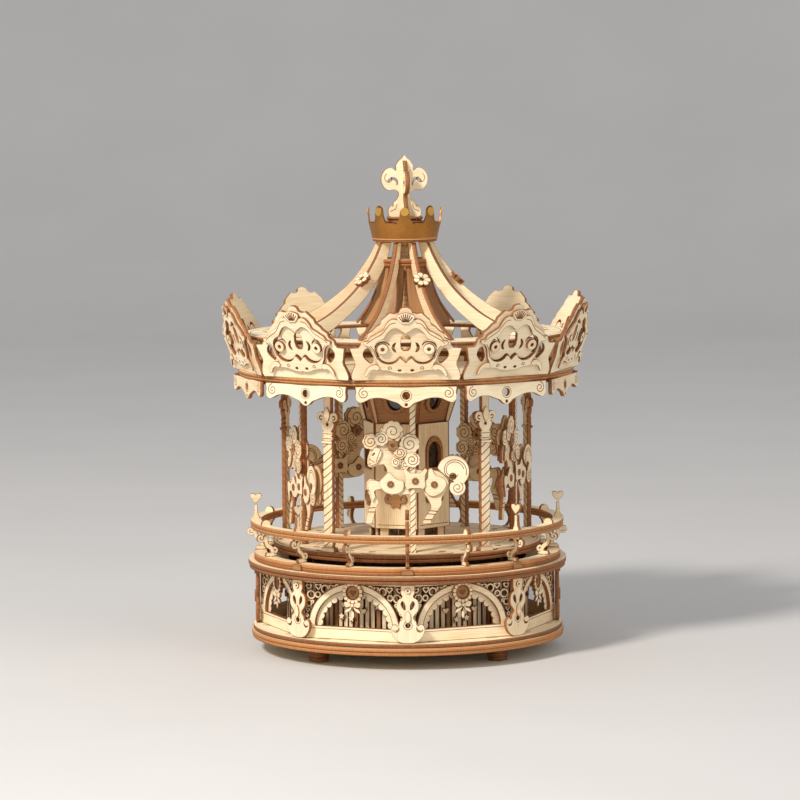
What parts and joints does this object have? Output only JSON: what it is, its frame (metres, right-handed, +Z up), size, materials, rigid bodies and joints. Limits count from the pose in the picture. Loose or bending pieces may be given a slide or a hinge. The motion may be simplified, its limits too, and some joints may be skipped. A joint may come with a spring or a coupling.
{
  "type": "wooden carousel music box",
  "caption": "Laser-cut plywood carousel music box: turning deck with rising horses, pole columns, mirrored tower, pierced drum and crested roof.",
  "frame": {"origin": "on the table under the centre of the drum, at the height of the feet", "axes": "+Z up; -Y is the front, the side that shows a pilaster and the leading horse; +X is to the right seen from the front"},
  "size_m": [0.2018, 0.207, 0.2715],
  "materials": {
    "plywood": "pale bare birch faces with laser-burnt brown edges",
    "dark_plywood": "plywood seen mostly by its burnt edges",
    "crown_metal": "thin brushed metal sheet, brass coloured",
    "movement_brass": "plain brass of a music movement",
    "movement_steel": "bright steel"
  },
  "bodies": {
    "base": {"foot_1": "plywood", "foot_2": "plywood", "foot_3": "plywood", "foot_4": "plywood", "base_plate_lower": "plywood", "base_plate_top": "plywood", "drum_panel_1": "plywood", "drum_panel_2": "plywood", "drum_panel_3": "plywood", "drum_panel_4": "plywood", "drum_panel_5": "plywood", "drum_panel_6": "plywood", "drum_panel_7": "plywood", "drum_panel_8": "plywood", "pilaster_1": "plywood", "pilaster_2": "plywood", "pilaster_3": "plywood", "pilaster_4": "plywood", "pilaster_5": "plywood", "pilaster_6": "plywood", "pilaster_7": "plywood", "pilaster_8": "plywood", "curtain_screen": "dark_plywood", "deck_ring_lower": "plywood", "deck_ring_upper": "plywood", "fence": "plywood", "mechanism_deck": "dark_plywood", "cam_ring": "dark_plywood", "movement_plate": "movement_brass", "spring_barrel": "movement_brass", "tone_comb": "movement_steel"},
    "carousel": {"main_shaft": "dark_plywood", "drive_gear": "dark_plywood", "turntable_lower": "plywood", "turntable_upper": "plywood", "column_1": "plywood", "column_2": "plywood", "column_3": "plywood", "column_4": "plywood", "column_5": "plywood", "tower_body": "plywood", "tower_flare": "plywood", "ceiling_plate": "plywood", "rim_ring": "plywood", "valance": "plywood", "crest": "plywood", "roof_deck": "plywood", "roof_ribs": "plywood", "crown_disc": "plywood", "crown_band": "crown_metal", "finial": "plywood"},
    "horse_1": {"horse_1": "plywood"},
    "horse_2": {"horse_2": "plywood"},
    "horse_3": {"horse_3": "plywood"},
    "horse_4": {"horse_4": "plywood"},
    "horse_5": {"horse_5": "plywood"},
    "pinion": {"drive_pinion": "movement_brass"},
    "cylinder": {"pin_cylinder": "movement_brass"},
    "governor": {"governor": "movement_steel"},
    "key": {"winding_key": "movement_steel"}
  },
  "joints": [
    {"name": "carousel_spin", "type": "hinge", "parent": "base", "child": "carousel", "pos_m": [0, 0, 0.02], "axis": [0, 0, 1], "continuous": true},
    {"name": "horse_1_lift", "type": "slide", "parent": "carousel", "child": "horse_1", "axis": [0, 0, 1], "range_m": [-0.0075, 0.0005]},
    {"name": "horse_2_lift", "type": "slide", "parent": "carousel", "child": "horse_2", "axis": [0, 0, 1], "range_m": [-0.0065, 0.0015]},
    {"name": "horse_3_lift", "type": "slide", "parent": "carousel", "child": "horse_3", "axis": [0, 0, 1], "range_m": [-0.0025, 0.0055]},
    {"name": "horse_4_lift", "type": "slide", "parent": "carousel", "child": "horse_4", "axis": [0, 0, 1], "range_m": [-0.0045, 0.0035]},
    {"name": "horse_5_lift", "type": "slide", "parent": "carousel", "child": "horse_5", "axis": [0, 0, 1], "range_m": [-0.0005, 0.0075]},
    {"name": "pinion_spin", "type": "hinge", "parent": "base", "child": "pinion", "pos_m": [0.0322, 0, 0.02], "axis": [0, 0, 1], "continuous": true},
    {"name": "cylinder_spin", "type": "hinge", "parent": "base", "child": "cylinder", "pos_m": [0.044, 0, 0.023], "axis": [0, 1, 0], "continuous": true},
    {"name": "governor_spin", "type": "hinge", "parent": "base", "child": "governor", "pos_m": [0.024, 0.014, 0.02], "axis": [0, 0, 1], "continuous": true},
    {"name": "key_turn", "type": "hinge", "parent": "base", "child": "key", "pos_m": [0.026, -0.014, 0.005], "axis": [0, 0, 1], "continuous": true}
  ],
  "couplings": [
    {"joint": "pinion_spin", "follows": "carousel_spin", "ratio": -3},
    {"joint": "cylinder_spin", "follows": "carousel_spin", "ratio": 2},
    {"joint": "governor_spin", "follows": "carousel_spin", "ratio": 8}
  ]
}
